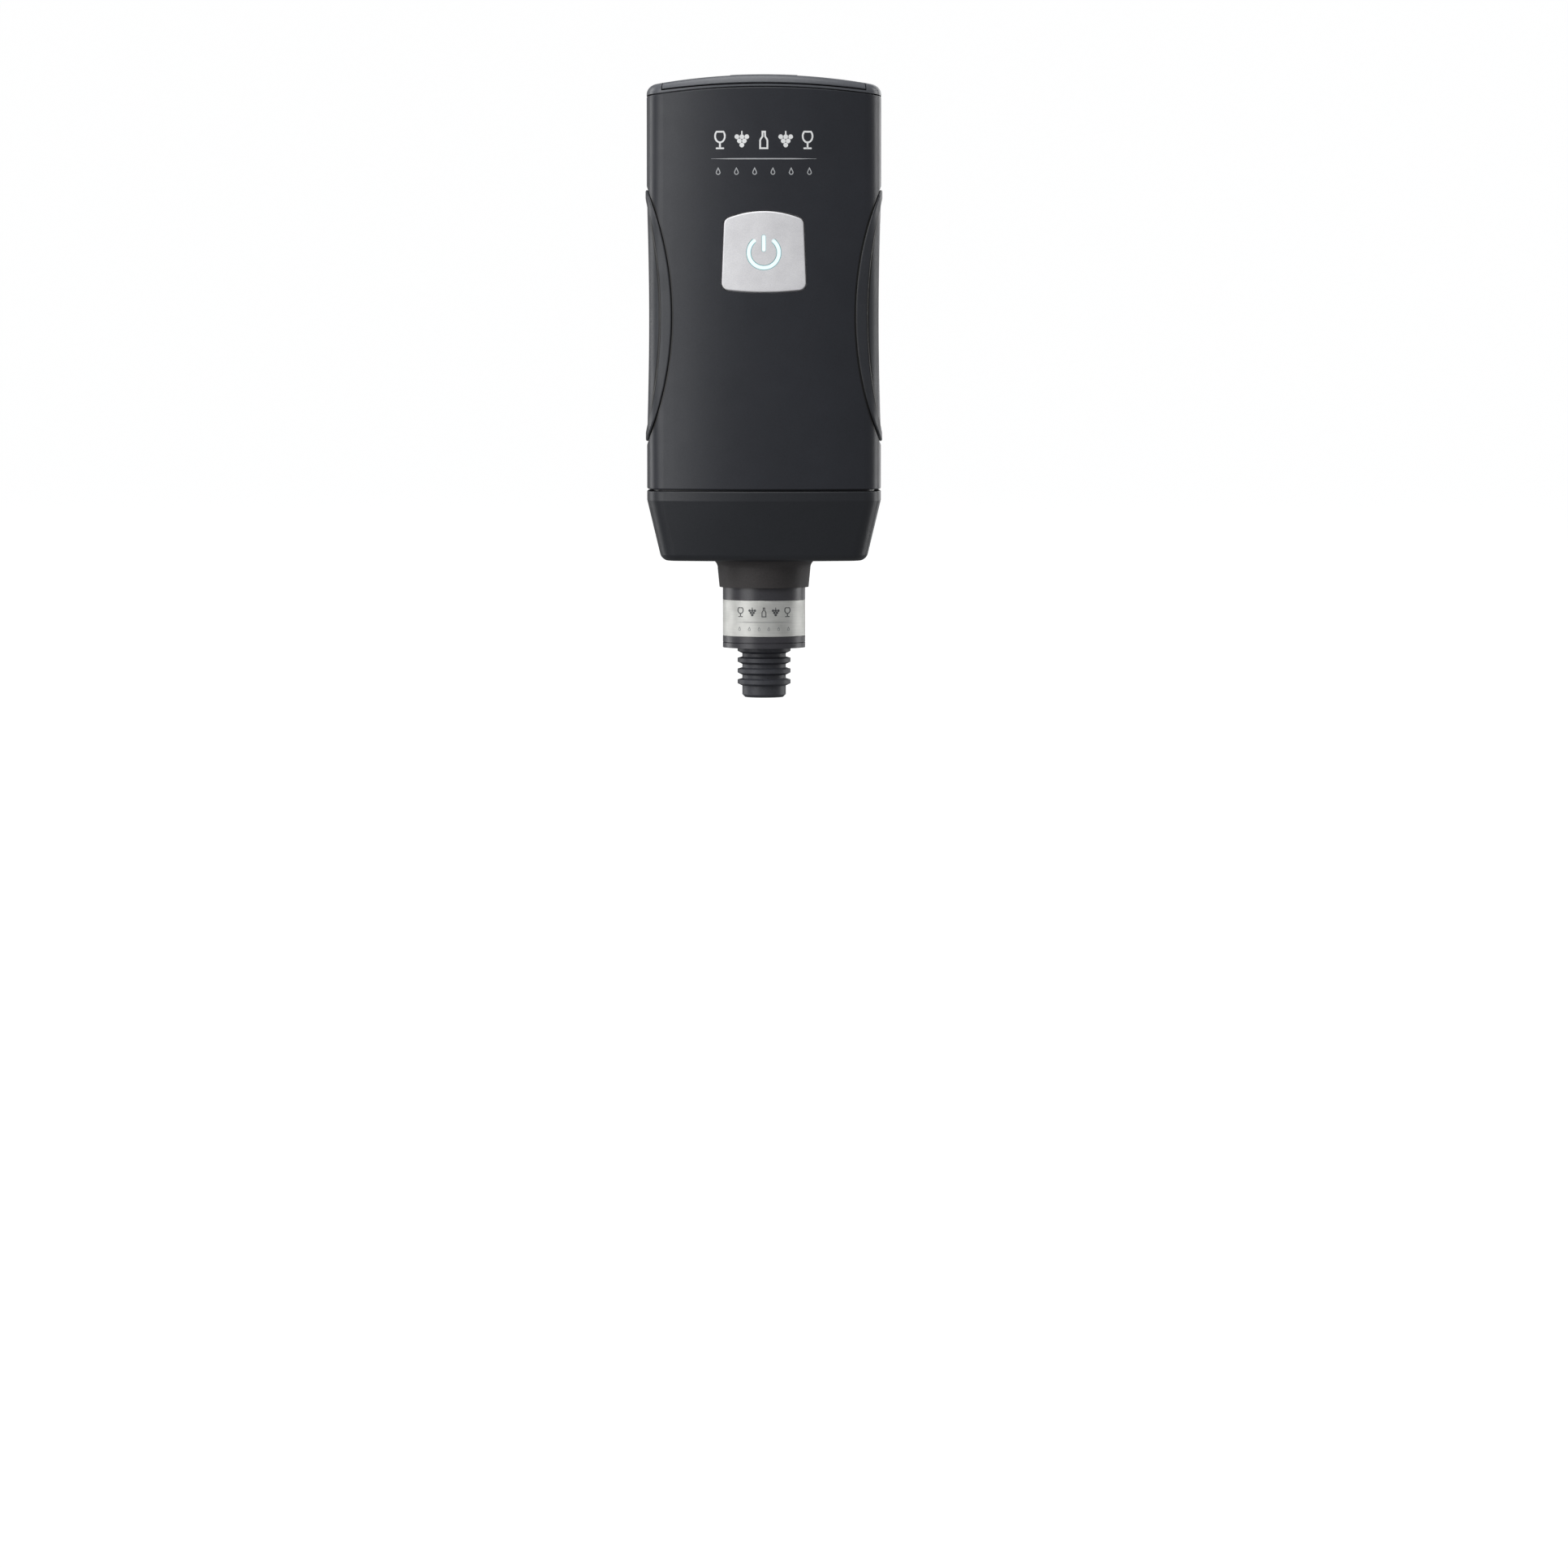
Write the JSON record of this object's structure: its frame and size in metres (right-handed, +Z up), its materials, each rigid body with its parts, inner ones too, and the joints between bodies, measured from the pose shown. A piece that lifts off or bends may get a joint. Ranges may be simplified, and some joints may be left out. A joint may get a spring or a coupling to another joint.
{
  "type": "wine bottle vacuum pump",
  "caption": "Hand-held electric vacuum pump for wine bottles, with a power button, side grips, a hinged battery lid and a ribbed vacuum stopper under its nozzle.",
  "frame": {"origin": "on the stopper's axis, level with the bottle's lip, where the stopper's plug begins", "axes": "+Z up along the stopper's axis, -Y is the side with the power button, +X is to its right as seen from the front"},
  "size_m": [0.0852, 0.0543, 0.2231],
  "materials": {
    "casing_plastic": "satin",
    "crown_plastic": "satin",
    "base_plastic": "satin",
    "grip_rubber": "matte",
    "nozzle_rubber": "matte",
    "button_silver": "satin",
    "light_guide": "gloss",
    "stopper_plastic": "satin",
    "band_steel": "satin",
    "plug_silicone": "matte",
    "inner_plastic": "matte",
    "steel_parts": "satin",
    "magnet_ferrite": "matte",
    "brass_parts": "satin",
    "soft_parts": "matte",
    "hose_silicone": "satin",
    "board_laminate": "satin",
    "wire_jacket": "satin",
    "cell_label": "gloss"
  },
  "bodies": {
    "stopper": {"stopper_cap": "stopper_plastic", "stopper_base_ring": "stopper_plastic", "stopper_band": "band_steel", "stopper_plug": "plug_silicone"},
    "valve": {"stopper_valve": "plug_silicone"},
    "pump": {"front_shell": "casing_plastic", "rear_shell": "casing_plastic", "top_surround": "crown_plastic", "base_cap": "base_plastic", "nozzle": "nozzle_rubber", "nozzle_insert": "inner_plastic", "nozzle_seal": "nozzle_rubber", "left_grip_frame": "grip_rubber", "left_grip_pad": "grip_rubber", "right_grip_frame": "grip_rubber", "right_grip_pad": "grip_rubber", "circuit_board": "board_laminate", "tact_switch": "inner_plastic", "status_leds": "board_laminate", "board_components": "board_laminate", "battery_tray": "inner_plastic", "battery_cell_1": "cell_label", "battery_cell_2": "cell_label", "battery_cell_3": "cell_label", "battery_cell_4": "cell_label", "battery_springs": "steel_parts", "battery_contacts": "steel_parts", "case_screws": "steel_parts", "cradle_screws": "steel_parts", "small_screws": "steel_parts", "motor_can": "steel_parts", "motor_end_cap": "inner_plastic", "motor_bushings": "brass_parts", "motor_magnets": "magnet_ferrite", "motor_brushes": "brass_parts", "motor_sleeve": "soft_parts", "motor_cradle": "inner_plastic", "motor_strap": "inner_plastic", "pump_housing": "inner_plastic", "diaphragm": "soft_parts", "valve_plate": "inner_plastic", "valve_flaps": "soft_parts", "pump_cover": "inner_plastic", "pump_screws": "steel_parts", "suction_hose": "hose_silicone", "motor_wires": "wire_jacket", "battery_wires": "wire_jacket", "lid_hinge_pins": "steel_parts"},
    "lid": {"battery_lid": "crown_plastic", "lid_contacts": "steel_parts"},
    "button": {"power_button": "button_silver", "power_symbol": "light_guide", "switch_plunger": "inner_plastic"},
    "rotor": {"motor_shaft": "steel_parts", "rotor_core": "steel_parts", "rotor_windings": "brass_parts", "commutator": "brass_parts", "eccentric": "brass_parts", "crank_pin": "steel_parts"},
    "wobble": {"wobble_plate": "inner_plastic"}
  },
  "joints": [
    {"name": "pump_lift", "type": "slide", "parent": "stopper", "child": "pump", "axis": [0, 0, 1], "range_m": [0, 0.04]},
    {"name": "valve_lift", "type": "slide", "parent": "stopper", "child": "valve", "axis": [0, 0, 1], "range_m": [0, 0.0015]},
    {"name": "lid_hinge", "type": "hinge", "parent": "pump", "child": "lid", "pos_m": [0, 0.0135, 0.2022], "axis": [-1, 0, 0], "range_deg": [0, 100]},
    {"name": "button_press", "type": "slide", "parent": "pump", "child": "button", "axis": [0, 1, 0], "range_m": [0, 0.0005], "stiffness_N_per_m": 600, "springref_m": -0.001},
    {"name": "motor_spin", "type": "hinge", "parent": "pump", "child": "rotor", "pos_m": [0, 0, 0.1], "axis": [0, 0, 1], "continuous": true},
    {"name": "wobble_turn", "type": "hinge", "parent": "rotor", "child": "wobble", "pos_m": [0, 0, 0.08], "axis": [0.1392, 0, 0.9903], "continuous": true, "deforming": ["diaphragm"]}
  ],
  "couplings": [
    {"joint": "wobble_turn", "follows": "motor_spin", "ratio": -1}
  ]
}
